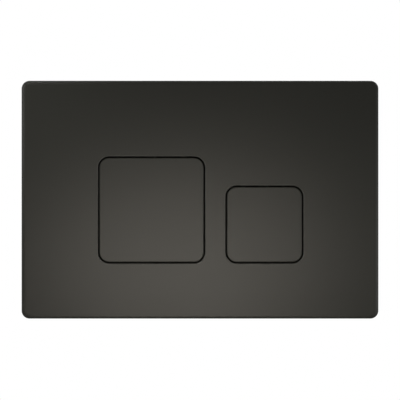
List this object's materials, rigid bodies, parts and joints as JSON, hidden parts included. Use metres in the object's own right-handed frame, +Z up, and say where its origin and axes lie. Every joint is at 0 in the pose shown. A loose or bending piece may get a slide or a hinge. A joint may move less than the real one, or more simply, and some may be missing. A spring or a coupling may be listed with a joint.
{
  "type": "flush button plate",
  "caption": "Rectangular matte black wall plate for a concealed cistern, with a large and a small square push button hinged behind the face, push rods and fixing studs.",
  "frame": {"origin": "middle of the rear rim, on the surface of the wall that the plate covers", "axes": "+X to the right and +Z up as seen from the room, +Y into the wall"},
  "size_m": [0.246, 0.0725, 0.164],
  "materials": {
    "face_plastic": "satin matte, moulded",
    "frame_plastic": "moulded, fine grain",
    "rod_plastic": "moulded, slippery",
    "head_plastic": "moulded",
    "zinc_steel": "zinc plated",
    "pin_steel": "drawn bright",
    "spring_steel": "blackened drawn wire",
    "buffer_rubber": "matte"
  },
  "bodies": {
    "plate": {"cover_plate": "face_plastic", "mounting_frame": "frame_plastic", "fixing_stud_left": "zinc_steel", "fixing_washer_left": "zinc_steel", "fixing_nut_left": "zinc_steel", "fixing_stud_right": "zinc_steel", "fixing_washer_right": "zinc_steel", "fixing_nut_right": "zinc_steel", "full_flush_hinge_pin": "pin_steel", "full_flush_return_spring": "spring_steel", "full_flush_buffer": "buffer_rubber", "half_flush_hinge_pin": "pin_steel", "half_flush_return_spring": "spring_steel", "half_flush_buffer": "buffer_rubber"},
    "full_button": {"full_flush_button": "face_plastic"},
    "full_rod": {"full_flush_push_rod": "rod_plastic", "full_flush_rod_head": "head_plastic", "full_flush_lock_nut": "head_plastic"},
    "half_button": {"half_flush_button": "face_plastic"},
    "half_rod": {"half_flush_push_rod": "rod_plastic", "half_flush_rod_head": "head_plastic", "half_flush_lock_nut": "head_plastic"}
  },
  "joints": [
    {"name": "full_flush_hinge", "type": "hinge", "parent": "plate", "child": "full_button", "pos_m": [-0.03335, -0.0015, 0.0353], "axis": [1, 0, 0], "range_deg": [0, 4], "stiffness_Nm_per_rad": 2.1, "springref_deg": -4.01, "deforming": ["full_flush_return_spring"]},
    {"name": "half_flush_hinge", "type": "hinge", "parent": "plate", "child": "half_button", "pos_m": [0.0444, -0.0015, 0.0152], "axis": [1, 0, 0], "range_deg": [0, 5.4], "stiffness_Nm_per_rad": 1.15, "springref_deg": -4.87, "deforming": ["half_flush_return_spring"]},
    {"name": "full_flush_rod_slide", "type": "slide", "parent": "plate", "child": "full_rod", "axis": [0, 1, 0], "range_m": [0, 0.0046]},
    {"name": "half_flush_rod_slide", "type": "slide", "parent": "plate", "child": "half_rod", "axis": [0, 1, 0], "range_m": [0, 0.0042]}
  ],
  "couplings": [
    {"joint": "full_flush_rod_slide", "follows": "full_flush_hinge", "m_per_rad": 0.0613},
    {"joint": "half_flush_rod_slide", "follows": "half_flush_hinge", "m_per_rad": 0.0412}
  ]
}
